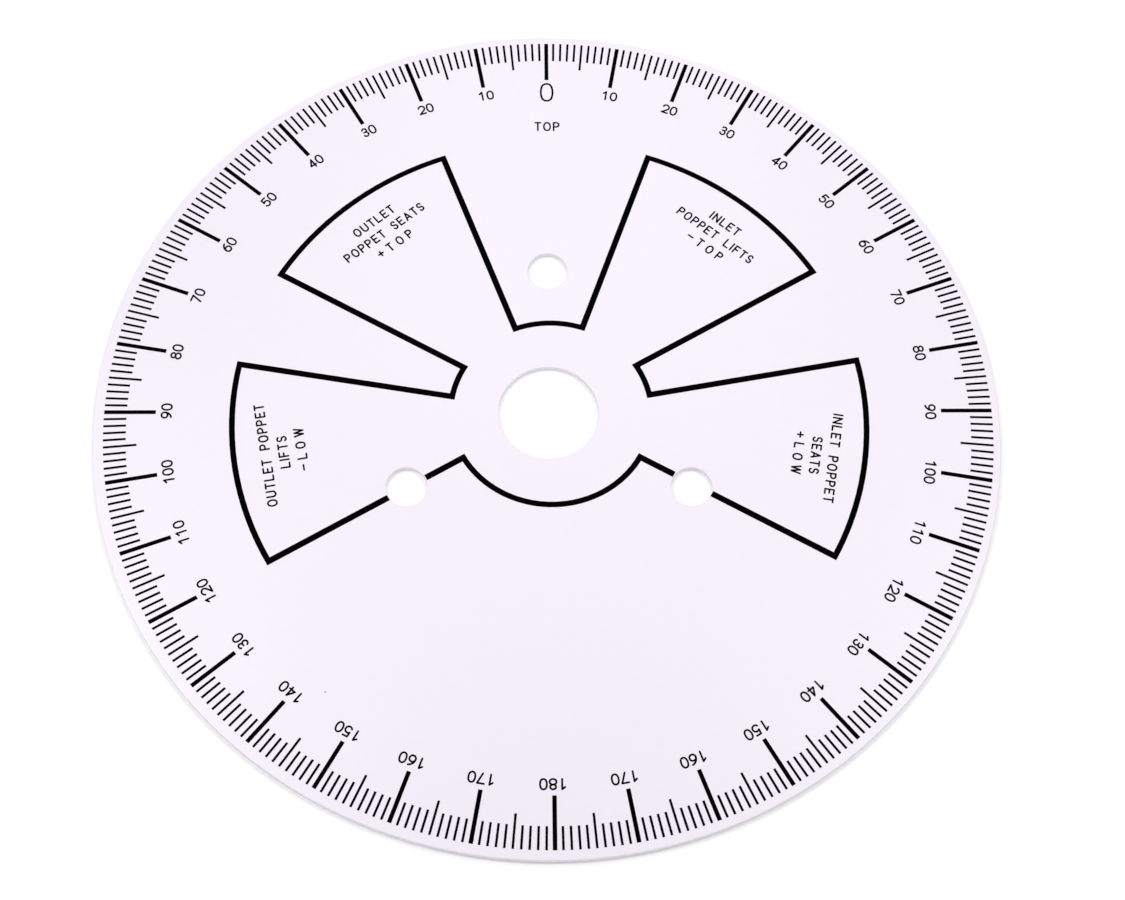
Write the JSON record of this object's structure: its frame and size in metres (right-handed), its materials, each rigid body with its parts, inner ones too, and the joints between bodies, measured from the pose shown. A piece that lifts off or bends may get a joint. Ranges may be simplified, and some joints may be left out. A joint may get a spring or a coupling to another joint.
{
  "type": "degree wheel",
  "caption": "Flat round degree wheel of thin sheet aluminium with a printed angle scale, a centre bore and a ring of bolt holes, for setting an engine's valve timing.",
  "frame": {"origin": "centre of the plate's back face, on the axis of the centre bore", "axes": "+Z along the bore, out of the printed face; +Y from the bore towards the zero mark; +X to the right of a reader who has the zero mark at the top"},
  "size_m": [0.2286, 0.2286, 0.0016],
  "materials": {
    "plate_aluminium": "fine satin, clear anodised",
    "printing_ink": "satin black screen-printing ink"
  },
  "bodies": {
    "root": {"plate": "plate_aluminium", "zero_mark": "printing_ink", "ten_degree_marks": "printing_ink", "five_degree_marks": "printing_ink", "one_degree_marks": "printing_ink", "zero_number": "printing_ink", "right_numbers": "printing_ink", "left_numbers": "printing_ink", "bottom_number": "printing_ink", "sector_outline": "printing_ink", "outlet_closing_caption": "printing_ink", "inlet_opening_caption": "printing_ink", "outlet_opening_caption": "printing_ink", "inlet_closing_caption": "printing_ink", "top_caption": "printing_ink"}
  },
  "joints": []
}
